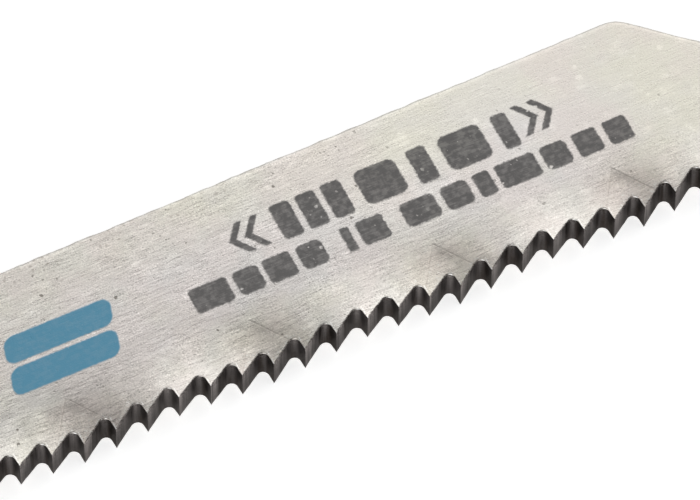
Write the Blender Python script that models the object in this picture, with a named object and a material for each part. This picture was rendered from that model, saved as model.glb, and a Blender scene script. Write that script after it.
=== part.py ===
"""Jigsaw blade for metal: one strip of steel with a T-shank, milled teeth and a wavy set.

The outline is drawn from the end of the shank (x = 0) to the nose, with y = 0 on the line
of the tooth tips and +y towards the back of the blade. It is extruded to the thickness of
the strip, and the toothed edge is then bent to alternate sides in a wave. The finished
blade lies flat, centred on the origin, with its lowest teeth at z = 0.
"""

import math

import bmesh
import bpy
from mathutils import Vector

# Strip
BLADE_LENGTH = 0.092
BLADE_WIDTH = 0.0075
BLADE_THICKNESS = 0.00125
EDGE_BREAK = 0.0001

# Teeth
TOOTH_PITCH = 0.0012
TOOTH_DEPTH = 0.00055
GULLET_RADIUS = 0.00024
RAKE_LEAN = math.radians(4.0)

# Wavy set
SET_AMPLITUDE = 0.000225
SET_DEPTH = 0.0021
SET_WAVELENGTH = 0.00703
SET_LOW_BEFORE_LAST_TIP = 0.00048
SET_FADE = 0.0024
SET_BEND = 1.5

# Tip
NOSE_HEIGHT = 0.0025
NOSE_LAND = 0.0007
NOSE_RADIUS = 0.0005
TIP_ANGLE = math.radians(43.7)
BACK_CORNER_RADIUS = 0.0009

# T-shank
TAB_WIDTH = 0.0063
TAB_LENGTH = 0.008
TAB_CHAMFER = 0.0015
LUG_SPAN = 0.011
LUG_LENGTH = 0.003
LUG_RADIUS = 0.0005
NECK_WIDTH = 0.0066
NECK_LENGTH = 0.0091
SHANK_FILLET = 0.0003
SHOULDER_LENGTH = 0.0022
SHOULDER_RADIUS = 0.003
LEAST_LAND = 0.0017

# How finely round and bent stretches are divided
GULLET_RISE_STEPS = 3
GULLET_FALL_STEPS = 6
CORNER_STEPS = 4
SET_ROWS = 5
COLUMNS_PER_TOOTH = 2
COLUMNS_PER_LONG_CUT = 8

WELD_DISTANCE = 1e-7
FLAT_ANGLE = math.radians(0.1)
SHARP_ANGLE = math.radians(30.0)


class Layout:
    """Places along the blade that follow from the driving sizes."""

    def __init__(self):
        self.shank_axis_y = BLADE_WIDTH - NECK_WIDTH / 2
        self.lug_end_x = TAB_LENGTH + LUG_LENGTH
        self.shoulder_start_x = self.lug_end_x + NECK_LENGTH
        self.land_start_x = self.shoulder_start_x + SHOULDER_LENGTH
        self.last_tip_x = BLADE_LENGTH - NOSE_LAND
        toothed_length = self.last_tip_x - self.land_start_x - LEAST_LAND
        self.tooth_count = int(toothed_length / TOOTH_PITCH)
        self.land_end_x = self.last_tip_x - self.tooth_count * TOOTH_PITCH
        self.back_corner_x = BLADE_LENGTH - (BLADE_WIDTH - NOSE_HEIGHT) / math.tan(TIP_ANGLE)


def gullet_shape():
    """Return the gullet's centre, measured from the tip before it, and the flank's slope."""
    along_rake = (TOOTH_DEPTH - GULLET_RADIUS + GULLET_RADIUS * math.sin(RAKE_LEAN)) / math.cos(RAKE_LEAN)
    centre_x = TOOTH_PITCH - along_rake * math.sin(RAKE_LEAN) - GULLET_RADIUS * math.cos(RAKE_LEAN)
    centre_y = TOOTH_DEPTH - GULLET_RADIUS
    reach = math.hypot(centre_x, centre_y)
    flank = math.atan2(centre_y, centre_x) + math.asin(GULLET_RADIUS / reach)
    return Vector((centre_x, centre_y)), flank


def arc_points(centre, radius, first_angle, last_angle, steps):
    """Return points along an arc, with both of its ends."""
    points = []
    for step in range(steps + 1):
        angle = first_angle + (last_angle - first_angle) * step / steps
        points.append(centre + radius * Vector((math.cos(angle), math.sin(angle))))
    return points


def tooth_points(start_x):
    """Return the outline from just after the tip at start_x to the next tip."""
    centre, flank = gullet_shape()
    place = Vector((start_x, 0.0)) + centre
    crown = math.pi / 2
    points = arc_points(place, GULLET_RADIUS, crown + flank, crown, GULLET_RISE_STEPS)
    points.extend(arc_points(place, GULLET_RADIUS, crown, RAKE_LEAN, GULLET_FALL_STEPS)[1:])
    points.append(Vector((start_x + TOOTH_PITCH, 0.0)))
    return points


def rounded_corner(before, corner, after, radius):
    """Return the arc of the given radius that rounds the corner between two neighbours."""
    to_before = (before - corner).normalized()
    to_after = (after - corner).normalized()
    half = to_before.angle(to_after) / 2
    centre = corner + (to_before + to_after).normalized() * radius / math.sin(half)
    start = corner + to_before * radius / math.tan(half) - centre
    end = corner + to_after * radius / math.tan(half) - centre
    first_angle = math.atan2(start.y, start.x)
    turn = -start.angle_signed(end)
    return arc_points(centre, radius, first_angle, first_angle + turn, CORNER_STEPS)


def shank_side(layout, side):
    """Return the corners of one side of the shank, from its end to the neck, with radii."""
    axis_y = layout.shank_axis_y
    return [
        (Vector((0.0, axis_y + side * (TAB_WIDTH / 2 - TAB_CHAMFER))), SHANK_FILLET),
        (Vector((TAB_CHAMFER, axis_y + side * TAB_WIDTH / 2)), SHANK_FILLET),
        (Vector((TAB_LENGTH, axis_y + side * TAB_WIDTH / 2)), SHANK_FILLET),
        (Vector((TAB_LENGTH, axis_y + side * LUG_SPAN / 2)), LUG_RADIUS),
        (Vector((layout.lug_end_x, axis_y + side * LUG_SPAN / 2)), LUG_RADIUS),
        (Vector((layout.lug_end_x, axis_y + side * NECK_WIDTH / 2)), SHANK_FILLET),
    ]


def blade_outline(layout):
    """Return the points of the whole outline, counter-clockwise from the end of the shank."""
    _, flank = gullet_shape()
    corners = shank_side(layout, -1)
    corners.append((Vector((layout.shoulder_start_x, BLADE_WIDTH - NECK_WIDTH)), SHOULDER_RADIUS))
    corners.append((Vector((layout.land_start_x, 0.0)), SHOULDER_RADIUS))
    corners.append((Vector((layout.land_end_x, 0.0)), 0.0))
    for tooth in range(layout.tooth_count):
        for point in tooth_points(layout.land_end_x + tooth * TOOTH_PITCH):
            corners.append((point, 0.0))
    corners.append((Vector((BLADE_LENGTH, NOSE_LAND * math.tan(flank))), 0.0))
    corners.append((Vector((BLADE_LENGTH, NOSE_HEIGHT)), NOSE_RADIUS))
    corners.append((Vector((layout.back_corner_x, BLADE_WIDTH)), BACK_CORNER_RADIUS))
    corners.extend(reversed(shank_side(layout, 1)))

    points = []
    for index, (corner, radius) in enumerate(corners):
        if radius > 0.0:
            before = corners[index - 1][0]
            after = corners[(index + 1) % len(corners)][0]
            points.extend(rounded_corner(before, corner, after, radius))
        else:
            points.append(corner)
    return points


def extruded_outline(points):
    """Extrude the outline to the strip's thickness and return it as a welded bmesh."""
    curve = bpy.data.curves.new("blade_outline", "CURVE")
    curve.dimensions = "2D"
    curve.fill_mode = "BOTH"
    curve.extrude = BLADE_THICKNESS / 2
    spline = curve.splines.new("POLY")
    spline.points.add(len(points) - 1)
    for target, point in zip(spline.points, points):
        target.co = (point.x, point.y, 0.0, 1.0)
    spline.use_cyclic_u = True
    guide = bpy.data.objects.new("blade_outline", curve)
    bpy.context.scene.collection.objects.link(guide)

    graph = bpy.context.evaluated_depsgraph_get()
    mesh = bpy.data.meshes.new_from_object(guide.evaluated_get(graph))
    mesh.transform(guide.matrix_world)
    strip = bmesh.new()
    strip.from_mesh(mesh)
    bmesh.ops.remove_doubles(strip, verts=strip.verts, dist=WELD_DISTANCE)
    bmesh.ops.dissolve_limit(
        strip,
        angle_limit=FLAT_ANGLE,
        verts=strip.verts,
        edges=strip.edges,
        use_dissolve_boundaries=False,
    )
    bpy.data.objects.remove(guide)
    bpy.data.meshes.remove(mesh)
    bpy.data.curves.remove(curve)
    return strip


def break_plain_edges(strip, layout):
    """Bevel the rims of both faces, apart from the rim along the land and the teeth."""
    rims = []
    for edge in strip.edges:
        first, second = edge.verts
        lies_in_face = abs(first.co.z - second.co.z) < WELD_DISTANCE
        low = max(first.co.y, second.co.y) < NOSE_HEIGHT
        toothed = min(first.co.x, second.co.x) > layout.land_start_x - WELD_DISTANCE and low
        if lies_in_face and not toothed:
            rims.append(edge)
    bmesh.ops.bevel(
        strip,
        geom=rims,
        offset=EDGE_BREAK,
        segments=1,
        profile=0.5,
        affect="EDGES",
        clamp_overlap=True,
    )


def cut_at(strip, faces, place, normal):
    """Cut the given faces along a plane, without removing anything."""
    geometry = list(faces)
    geometry.extend(dict.fromkeys(edge for face in faces for edge in face.edges))
    geometry.extend(dict.fromkeys(vertex for face in faces for vertex in face.verts))
    bmesh.ops.bisect_plane(
        strip,
        geom=geometry,
        dist=WELD_DISTANCE,
        plane_co=place,
        plane_no=normal,
    )


def divide_set_zone(strip, layout):
    """Cut rows and columns into the faces near the teeth, so that they can bend.

    A few of the columns run on to the back of the blade, to keep its triangles compact.
    """
    height = SET_DEPTH - TOOTH_DEPTH
    for row in range(SET_ROWS, 0, -1):
        level = TOOTH_DEPTH + height * row / SET_ROWS
        cut_at(strip, list(strip.faces), Vector((0.0, level, 0.0)), Vector((0.0, 1.0, 0.0)))

    centre, _ = gullet_shape()
    for column in range(layout.tooth_count * COLUMNS_PER_TOOTH):
        place_x = layout.land_end_x + centre.x + (column - 1) * TOOTH_PITCH / COLUMNS_PER_TOOTH
        runs_on = column % COLUMNS_PER_LONG_CUT == 0
        chosen = []
        for face in strip.faces:
            if runs_on or face.calc_center_bounds().y < SET_DEPTH:
                chosen.append(face)
        cut_at(strip, chosen, Vector((place_x, 0.0, 0.0)), Vector((1.0, 0.0, 0.0)))


def smooth_rise(distance, run):
    """Return a value that eases from 0 to 1 over the given run."""
    share = min(1.0, max(0.0, distance / run))
    return share * share * (3.0 - 2.0 * share)


def set_offset(layout, place):
    """Return how far the wavy set moves a point of the strip sideways."""
    reach = min(1.0, max(0.0, 1.0 - place.y / SET_DEPTH))
    low_x = layout.last_tip_x - SET_LOW_BEFORE_LAST_TIP
    wave = -math.cos(2.0 * math.pi * (place.x - low_x) / SET_WAVELENGTH)
    fade = smooth_rise(place.x - layout.land_end_x, SET_FADE)
    fade *= smooth_rise(BLADE_LENGTH - place.x, SET_FADE)
    return SET_AMPLITUDE * reach ** SET_BEND * wave * fade


def steel_material():
    """Return the bare, brushed steel of the blade."""
    material = bpy.data.materials.new("brushed_steel")
    material.use_nodes = True
    shader = material.node_tree.nodes["Principled BSDF"]
    shader.inputs["Base Color"].default_value = (0.62, 0.59, 0.55, 1.0)
    shader.inputs["Metallic"].default_value = 1.0
    shader.inputs["Roughness"].default_value = 0.38
    return material


def make_blade(collection):
    """Build the finished blade and lay it flat with its lowest teeth at z = 0."""
    layout = Layout()
    strip = extruded_outline(blade_outline(layout))
    break_plain_edges(strip, layout)
    divide_set_zone(strip, layout)
    bmesh.ops.remove_doubles(strip, verts=strip.verts, dist=WELD_DISTANCE)
    bmesh.ops.triangulate(strip, faces=strip.faces)
    for vertex in strip.verts:
        vertex.co.z += set_offset(layout, vertex.co)
    bmesh.ops.recalc_face_normals(strip, faces=strip.faces)

    low = Vector([min(vertex.co[axis] for vertex in strip.verts) for axis in range(3)])
    high = Vector([max(vertex.co[axis] for vertex in strip.verts) for axis in range(3)])
    mesh = bpy.data.meshes.new("blade")
    strip.to_mesh(mesh)
    strip.free()
    mesh.materials.append(steel_material())
    mesh.shade_smooth()
    mesh.set_sharp_from_angle(angle=SHARP_ANGLE)

    blade = bpy.data.objects.new("blade", mesh)
    blade.location = (-(low.x + high.x) / 2, -(low.y + high.y) / 2, -low.z)
    collection.objects.link(blade)
    return blade


def main():
    """Clear the scene and build the blade in its own collection."""
    for leftover in list(bpy.data.objects):
        bpy.data.objects.remove(leftover)
    collection = bpy.data.collections.new("jigsaw_blade")
    bpy.context.scene.collection.children.link(collection)
    make_blade(collection)
    bpy.context.view_layer.update()


if __name__ == "__main__":
    main()
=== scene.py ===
import enum
import logging
import math
from dataclasses import asdict, dataclass, field
from functools import partialmethod, reduce
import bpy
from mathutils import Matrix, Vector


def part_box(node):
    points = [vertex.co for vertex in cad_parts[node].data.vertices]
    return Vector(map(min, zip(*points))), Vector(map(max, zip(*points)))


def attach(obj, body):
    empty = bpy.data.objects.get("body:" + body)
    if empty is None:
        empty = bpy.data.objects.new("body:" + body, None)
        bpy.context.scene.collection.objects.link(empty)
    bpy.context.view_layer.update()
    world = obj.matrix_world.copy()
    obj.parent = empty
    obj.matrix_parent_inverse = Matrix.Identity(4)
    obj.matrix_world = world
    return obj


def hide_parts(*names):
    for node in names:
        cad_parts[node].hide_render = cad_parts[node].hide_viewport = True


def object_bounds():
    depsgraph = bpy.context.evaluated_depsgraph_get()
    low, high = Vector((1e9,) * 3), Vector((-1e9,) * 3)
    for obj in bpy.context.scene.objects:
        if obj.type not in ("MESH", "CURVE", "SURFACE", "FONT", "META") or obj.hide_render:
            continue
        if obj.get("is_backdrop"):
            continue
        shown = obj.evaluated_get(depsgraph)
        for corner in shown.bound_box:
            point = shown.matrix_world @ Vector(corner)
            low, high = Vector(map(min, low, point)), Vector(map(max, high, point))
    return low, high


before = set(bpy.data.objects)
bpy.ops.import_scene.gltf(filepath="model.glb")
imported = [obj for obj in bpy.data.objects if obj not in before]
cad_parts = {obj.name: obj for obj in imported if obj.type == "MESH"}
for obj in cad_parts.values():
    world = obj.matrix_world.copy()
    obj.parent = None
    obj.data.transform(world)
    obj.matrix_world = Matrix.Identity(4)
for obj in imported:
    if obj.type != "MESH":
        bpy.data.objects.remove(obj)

from types import SimpleNamespace
from typing import Any, Optional, Sequence, Union

import bmesh
import bpy
from mathutils import Vector

LOG = logging.getLogger("jigsaw_blade")

MM = 0.001
NODE = "blade"
BODY = "root"
MIDDLE = 0.5
HALF = 0.5
COLOUR_MIX_INPUTS = (0, 6, 7)
COLOUR_MIX_OUTPUT = 2

Socket = bpy.types.NodeSocket
Feed = Union["Value", Socket, float, int, str, Sequence[float]]
Colour = tuple[float, float, float, float]


class Guide(str, enum.Enum):
    """Names of the guide's attributes, which the strip's tree reads."""

    LOW = "low"
    HIGH = "high"
    LEAN = "lean"
    LOW_RIM = "low_rim"
    HIGH_RIM = "high_rim"
    LOW_DROP = "low_drop"
    FLAT = "flat"
    SHARE = "share"
    INSET = "inset"
    DROP = "drop"
    ACROSS = "across"


class Surface(str, enum.Enum):
    """Names of what the strip keeps for its finishes: three in millimetres, then shares, then a number."""

    FROM_TEETH = "from_teeth"
    FROM_BACK = "from_back"
    IN_PRESS_MARK = "in_press_mark"
    ALONG_TOOTH = "along_tooth"
    OVER_RIM = "over_rim"
    ACROSS_STRIP = "across_strip"
    FINISH = "finish"


@dataclass(frozen=True)
class Span:
    """How one value eases from low to high while another goes from start to end."""

    start: float
    end: float
    low: float = 0.0
    high: float = 1.0


@dataclass(frozen=True)
class PitRule:
    """How close together pits lie, how wide they are, and the share of the cells that have one."""

    scale: float
    size: float
    share: float


@dataclass(frozen=True)
class CloudRule:
    """How close together soft patches lie, and between which levels of the noise they fade."""

    scale: float
    low: float = 0.4
    high: float = 0.6


@dataclass(frozen=True)
class BrushRule:
    """How long grinding lines run and how close together they lie."""

    run: float
    fineness: float


@dataclass(frozen=True)
class NoiseRule:
    """How fine, detailed and rough a noise is, and along which span it is eased, if it is."""

    scale: float
    detail: float
    rough: float
    span: Optional[Span] = None


def title(name: str) -> str:
    """Return a socket's label for a name with underscores."""
    return name.replace("_", " ").title()


class Value:
    """What a node puts out; arithmetic on it adds Math nodes, and comparing it gives 1 or 0."""

    def __init__(self, wiring: "Wiring", socket: Socket) -> None:
        """Stand for one output."""
        self.wiring = wiring
        self.socket = socket

    def math(self, operation: str, *others: Feed, clamp: bool = False) -> "Value":
        """Return the result of a Math node that starts with this value."""
        return self.wiring.math(operation, self, *others, clamp=clamp)

    __add__ = __radd__ = partialmethod(math, "ADD")
    __sub__ = partialmethod(math, "SUBTRACT")
    __mul__ = __rmul__ = partialmethod(math, "MULTIPLY")
    __truediv__ = partialmethod(math, "DIVIDE")
    __pow__ = partialmethod(math, "POWER")
    __abs__ = partialmethod(math, "ABSOLUTE")
    __gt__ = partialmethod(math, "GREATER_THAN")
    __lt__ = partialmethod(math, "LESS_THAN")
    at_least = partialmethod(math, "MAXIMUM")
    at_most = partialmethod(math, "MINIMUM")

    def __rsub__(self, other: Feed) -> "Value":
        """Return the other number less this value."""
        return self.wiring.math("SUBTRACT", other, self)

    def __neg__(self) -> "Value":
        """Return the value with its sign changed."""
        return self * -1.0

    def swing(self, size: Feed) -> "Value":
        """Return how far this texture lies off its middle, times a size."""
        return (self - MIDDLE) * size

    def rise(self, start: Feed, end: Feed, low: Feed = 0.0, high: Feed = 1.0) -> "Value":
        """Return what eases from low to high while this value goes from start to end.

        Args:
            start: where this value begins to count.
            end: where it ceases to count.
            low: the result up to the start.
            high: the result past the end.

        Returns:
            The eased value.
        """
        settings = {"interpolation_type": "SMOOTHSTEP", "clamp": True}
        feeds = {"Value": self, "From Min": start, "From Max": end, "To Min": low, "To Max": high}
        return self.wiring.value("ShaderNodeMapRange", settings, feeds)

    def eased(self, span: Span) -> "Value":
        """Return what eases along a span."""
        return self.rise(span.start, span.end, span.low, span.high)


class Wiring:
    """Short calls that add nodes to one tree and join them."""

    def __init__(self, tree: bpy.types.NodeTree) -> None:
        """Work on the given tree."""
        self.tree = tree

    def feed(self, socket: Socket, value: Any) -> None:
        """Join an output to an input, or set the input's own value.

        Args:
            socket: the input.
            value: an output, or a plain value of the input's kind.
        """
        if isinstance(value, Value):
            value = value.socket
        if isinstance(value, Socket):
            self.tree.links.new(value, socket)
        else:
            socket.default_value = value

    def add(
        self, kind: str, settings: Optional[dict[str, Any]] = None, feeds: Optional[dict[Any, Any]] = None
    ) -> bpy.types.Node:
        """Add a node.

        Args:
            kind: Blender's name of the node type.
            settings: the node's own properties.
            feeds: what goes into its inputs, by name or number.

        Returns:
            The new node.
        """
        node = self.tree.nodes.new(kind)
        for name, value in (settings or {}).items():
            setattr(node, name, value)
        for key, value in (feeds or {}).items():
            self.feed(node.inputs[key], value)
        return node

    def value(self, *plan: Any, output: int = 0) -> Value:
        """Add a node as add does, and return one of its outputs."""
        return Value(self, self.add(*plan).outputs[output])

    def math(self, operation: str, *values: Feed, clamp: bool = False) -> Value:
        """Return the result of a Math node."""
        settings = {"operation": operation, "use_clamp": clamp}
        return self.value("ShaderNodeMath", settings, dict(enumerate(values)))

    def blend(self, first: Feed, second: Feed, share: Feed) -> Value:
        """Return the number that lies a share of the way from first to second."""
        return self.math("MULTIPLY_ADD", self.math("SUBTRACT", second, first), share, first)

    def parts(self, vector: Feed) -> list[Value]:
        """Return the three parts of a vector."""
        outputs = self.add("ShaderNodeSeparateXYZ", {}, {0: vector}).outputs
        return [Value(self, output) for output in outputs]

    def vector(self, x: Feed, y: Feed, z: Feed) -> Value:
        """Return a vector made of three numbers."""
        return self.value("ShaderNodeCombineXYZ", {}, {0: x, 1: y, 2: z})

    def mapped(self, vector: Feed, **feeds: Any) -> Value:
        """Return the vector moved, turned or scaled, as named in the feeds."""
        return self.value("ShaderNodeMapping", {}, {"Vector": vector, **feeds})

    def noise(
        self, vector: Feed, scale: Feed, detail: float = 2.0, rough: float = 0.5, output: int = 0
    ) -> Value:
        """Return a noise texture, about 0.5 on average: its value, or its three numbers at output 1."""
        feeds = {"Vector": vector, "Scale": scale, "Detail": detail, "Roughness": rough}
        return self.value("ShaderNodeTexNoise", {}, feeds, output=output)

    def mix(self, share: Feed, first: Feed, second: Feed, way: str = "MIX") -> Value:
        """Return a mix of two colours."""
        plan = {"data_type": "RGBA", "blend_type": way}, dict(zip(COLOUR_MIX_INPUTS, (share, first, second)))
        return self.value("ShaderNodeMix", *plan, output=COLOUR_MIX_OUTPUT)

    def grey(self, tone: Value) -> Value:
        """Return a grey of the given tone."""
        return self.value("ShaderNodeCombineColor", {}, dict.fromkeys(("Red", "Green", "Blue"), tone))


@dataclass(frozen=True)
class StripSizes:
    """Driving sizes of the strip in metres, from the end of the shank and from the tooth tips."""

    length: float
    width: float = 7.5 * MM
    thickness: float = 1.25 * MM
    edge_break: float = 0.18 * MM
    tooth_edge_break: float = 0.04 * MM
    pitch: float = 1.2 * MM
    depth: float = 0.55 * MM
    gullet_radius: float = 0.24 * MM
    rake_lean: float = math.radians(4.0)
    set_amplitude: float = 0.225 * MM
    set_depth: float = 2.8 * MM
    set_wavelength: float = 7.03 * MM
    set_low_before_last_tip: float = 0.48 * MM
    set_fade: float = 2.4 * MM
    set_bend: float = 2.0
    nose_height: float = 2.5 * MM
    nose_land: float = 0.7 * MM
    nose_radius: float = 0.5 * MM
    tip_angle: float = math.radians(43.7)
    back_corner_radius: float = 0.9 * MM
    tab_width: float = 6.3 * MM
    tab_length: float = 8.0 * MM
    tab_chamfer: float = 1.5 * MM
    lug_span: float = 11.0 * MM
    lug_length: float = 3.0 * MM
    lug_radius: float = 0.5 * MM
    neck_width: float = 6.6 * MM
    neck_length: float = 9.1 * MM
    shank_fillet: float = 0.3 * MM
    shoulder_length: float = 2.2 * MM
    shoulder_radius: float = 3.0 * MM
    least_land: float = 1.7 * MM

    @property
    def half_thickness(self) -> float:
        """Half of the strip's thickness."""
        return self.thickness / 2

    @property
    def axis_y(self) -> float:
        """Height of the shank's middle line over the tooth tips."""
        return self.width - self.neck_width / 2

    @property
    def lug_end(self) -> float:
        """Where the lugs end."""
        return self.tab_length + self.lug_length

    @property
    def land_start(self) -> float:
        """Where the plain land before the teeth starts."""
        return self.lug_end + self.neck_length + self.shoulder_length

    @property
    def last_tip(self) -> float:
        """Where the last tooth tip is."""
        return self.length - self.nose_land

    @property
    def teeth(self) -> int:
        """How many teeth there are."""
        return int((self.last_tip - self.land_start - self.least_land) / self.pitch)

    @property
    def first_tip(self) -> float:
        """Where the land ends, at the first tip."""
        return self.last_tip - self.teeth * self.pitch

    @property
    def set_low(self) -> float:
        """Where the set is lowest, near the last tip."""
        return self.last_tip - self.set_low_before_last_tip

    @property
    def back_corner(self) -> float:
        """Where the straight back would meet the slanted tip."""
        return self.length - (self.width - self.nose_height) / math.tan(self.tip_angle)

    @property
    def gullet_x(self) -> float:
        """How far the centre of a gullet's round lies past the tip before it."""
        straight = self.depth - self.gullet_radius + self.gullet_radius * math.sin(self.rake_lean)
        rake = straight / math.cos(self.rake_lean)
        return self.pitch - rake * math.sin(self.rake_lean) - self.gullet_radius * math.cos(self.rake_lean)

    @property
    def gullet_y(self) -> float:
        """Height of that centre over the tooth tips."""
        return self.depth - self.gullet_radius

    @property
    def flank(self) -> float:
        """Slope of a tooth's back."""
        reach = math.hypot(self.gullet_x, self.gullet_y)
        return math.atan2(self.gullet_y, self.gullet_x) + math.asin(self.gullet_radius / reach)


@dataclass(frozen=True)
class EdgeRules:
    """How finely the toothed edge is divided, and how milling, pressing and wear shape it."""

    flank_columns: int = 6
    round_columns: int = 11
    rake_columns: int = 4
    set_sharpness: float = 0.3
    press_depth: float = 0.024 * MM
    press_run: float = 0.13 * MM
    press_height: float = 1.85 * MM
    press_slope: float = 0.68
    press_step: float = 0.6 * MM
    press_flat: float = 0.028
    press_stray_along: float = 0.1 * MM
    press_stray_up: float = 0.15 * MM
    crown_wear: float = 0.35
    crown_power: float = 12.0
    tip_inset: float = 0.15
    beyond_teeth: float = 0.03
    rim_ripple: float = 0.012 * MM
    rim_reach: float = 0.4 * MM
    rake_ripple: float = 0.4
    ripple_reach: float = 0.12 * MM
    ripple_scale: float = 5.0
    ripple_flow: float = 4.0 * MM
    nose_clear: float = 0.3 * MM
    back_ripple: float = 0.2 * MM
    dent_scale: float = 1.1
    dent_detail: float = 3.0
    dent_rough: float = 0.6
    dent_seed: float = 20.0
    back_edge_rows: int = 3
    weld_reach: float = 0.0005 * MM
    seed: int = 7


@dataclass(frozen=True)
class Station:
    """One cross-section of the strip's plain parts."""

    x: float
    low: float
    high: float
    lean: float = 0.0
    low_rim: float = 0.0
    high_rim: float = 0.0
    low_drop: float = 0.0
    flat: float = 0.0


@dataclass(frozen=True)
class RingPoint:
    """One point of the cross-section's loop."""

    share: float
    inset: float
    drop: float
    across: float


@dataclass
class StripGuide:
    """The cross-sections of the plain parts and the loop that every cross-section follows."""

    sizes: StripSizes
    corner_steps: int = 5
    step_lean: float = 0.005 * MM
    front_set_rows: int = 25
    front_plain_rows: int = 5
    back_set_rows: int = 14
    back_plain_rows: int = 3
    wall_rows: int = 4
    rim_rows: int = 4
    tooth_rim_rows: int = 3
    by_rim: float = 0.982
    before: list[Station] = field(default_factory=list)
    after: list[Station] = field(default_factory=list)

    def counts(self) -> dict[str, int]:
        """Count the stations, loop points and rows of faces for the tree.

        Returns:
            Each number by its name.
        """
        return {
            "stations_before": len(self.before),
            "stations_after": len(self.after),
            "ring_points": len(self.ring()),
            "front_rows": self.front_set_rows + self.front_plain_rows,
            "under_rows": self.back_set_rows + self.back_plain_rows,
            "rim_rows": self.rim_rows,
            "tooth_rim_rows": self.tooth_rim_rows,
            "wall_rows": self.wall_rows,
        }

    def rounded(self, corners: Sequence[tuple[float, float, float]]) -> list[tuple[Vector, Vector]]:
        """Round the corners of a path that keeps the steel on its right.

        Args:
            corners: x, y and radius of each corner; the first and last only give directions.

        Returns:
            Points of the rounded path, each with its outward direction.
        """
        path = []
        for before, here, after in zip(corners, corners[1:], corners[2:]):
            corner = Vector(here[:2])
            back = (Vector(before[:2]) - corner).normalized()
            ahead = (Vector(after[:2]) - corner).normalized()
            half = back.angle(ahead) / 2
            centre = corner + (back + ahead).normalized() * here[2] / math.sin(half)
            start = corner + back * here[2] / math.tan(half) - centre
            end = corner + ahead * here[2] / math.tan(half) - centre
            turn = start.angle_signed(end)
            side = 1.0 if turn > 0.0 else -1.0
            for step in range(self.corner_steps + 1):
                angle = math.atan2(start.y, start.x) - turn * step / self.corner_steps
                arm = Vector((math.cos(angle), math.sin(angle)))
                path.append((centre + arm * here[2], arm * side))
        return path

    def plan_shank(self) -> None:
        """Plan the stations from the end of the shank to the neck."""
        s = self.sizes
        corners = [
            (0.0, 0.0, 0.0),
            (0.0, s.tab_width / 2 - s.tab_chamfer, s.shank_fillet),
            (s.tab_chamfer, s.tab_width / 2, s.shank_fillet),
            (s.tab_length, s.tab_width / 2, s.shank_fillet),
            (s.tab_length, s.lug_span / 2, s.lug_radius),
            (s.lug_end, s.lug_span / 2, s.lug_radius),
            (s.lug_end, s.neck_width / 2, s.shank_fillet),
            (s.land_start - s.shoulder_length, s.neck_width / 2, 0.0),
        ]
        last_x = -1.0
        for point, out in self.rounded(corners):
            x = max(point.x, last_x + self.step_lean)
            last_x = x
            rim = s.edge_break * out.y
            lean = -s.edge_break * out.x
            low, high = s.axis_y - point.y, s.axis_y + point.y
            if not self.before:
                self.before.append(Station(x, low, high, 0.0, rim, rim, s.edge_break, 1.0))
            self.before.append(Station(x, low, high, lean, rim, rim, s.edge_break))

    def plan_shoulder(self) -> None:
        """Plan the stations of the shoulder, where the strip widens to the tooth line."""
        s = self.sizes
        neck_low = s.width - s.neck_width
        start = s.land_start - s.shoulder_length
        corners = [
            (s.lug_end, -neck_low, 0.0),
            (start, -neck_low, s.shoulder_radius),
            (s.land_start, 0.0, s.shoulder_radius),
            (s.first_tip, 0.0, 0.0),
        ]
        for point, _ in self.rounded(corners):
            share = min(1.0, max(0.0, (point.x - start) / s.shoulder_length))
            drop = s.edge_break + (s.tooth_edge_break - s.edge_break) * share
            self.before.append(Station(point.x, -point.y, s.width, 0.0, drop, s.edge_break, drop))

    def plan_nose(self) -> None:
        """Plan the stations from the last tip to the end of the nose."""
        s = self.sizes
        small = s.tooth_edge_break
        rim = s.edge_break / math.cos(s.tip_angle)
        high = s.width - (s.last_tip - s.back_corner) * math.tan(s.tip_angle)
        self.after.append(Station(s.last_tip, 0.0, high, 0.0, small, rim, small))
        corners = [
            (s.back_corner, s.width, 0.0),
            (s.length, s.nose_height, s.nose_radius),
            (s.length, 0.0, 0.0),
        ]
        for point, out in self.rounded(corners):
            low = (point.x - s.last_tip) * math.tan(s.flank)
            lean = -s.edge_break * out.x if point.x > s.length - s.nose_radius / 2 else 0.0
            self.after.append(Station(point.x, low, point.y, lean, small, s.edge_break * out.y, small))
        end = self.after[-1]
        self.after.append(Station(end.x, end.low, end.high, 0.0, small, end.high_rim, s.edge_break, 1.0))

    def ring(self) -> list[RingPoint]:
        """Lay out the loop: printed side, back edge, underside and tooth side.

        Returns:
            Its points in order.
        """
        front = self.shares(self.front_set_rows, self.front_plain_rows)
        under = self.shares(self.back_set_rows, self.back_plain_rows)
        rim = self.quarter_round(self.rim_rows)
        tooth_rim = self.quarter_round(self.tooth_rim_rows)[:-1]
        points = [RingPoint(share, 1.0, 0.0, 1.0) for share in front]
        points.extend(RingPoint(1.0, inset, drop, 1.0) for inset, drop in rim)
        points.extend(RingPoint(1.0, inset, drop, -1.0) for inset, drop in reversed(rim))
        points.extend(RingPoint(share, 1.0, 0.0, -1.0) for share in reversed(under))
        points.extend(RingPoint(0.0, inset, drop, -1.0) for inset, drop in tooth_rim)
        for row in range(self.wall_rows + 1):
            points.append(RingPoint(0.0, 0.0, 1.0, 2.0 * row / self.wall_rows - 1.0))
        points.extend(RingPoint(0.0, inset, drop, 1.0) for inset, drop in reversed(tooth_rim))
        return points

    @staticmethod
    def quarter_round(rows: int) -> list[tuple[float, float]]:
        """Return how far in and how far down each point of a rounded edge lies, as shares of its size."""
        turns = [math.pi / 2 * row / rows for row in range(1, rows + 1)]
        return [(1.0 - math.sin(turn), 1.0 - math.cos(turn)) for turn in turns]

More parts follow.
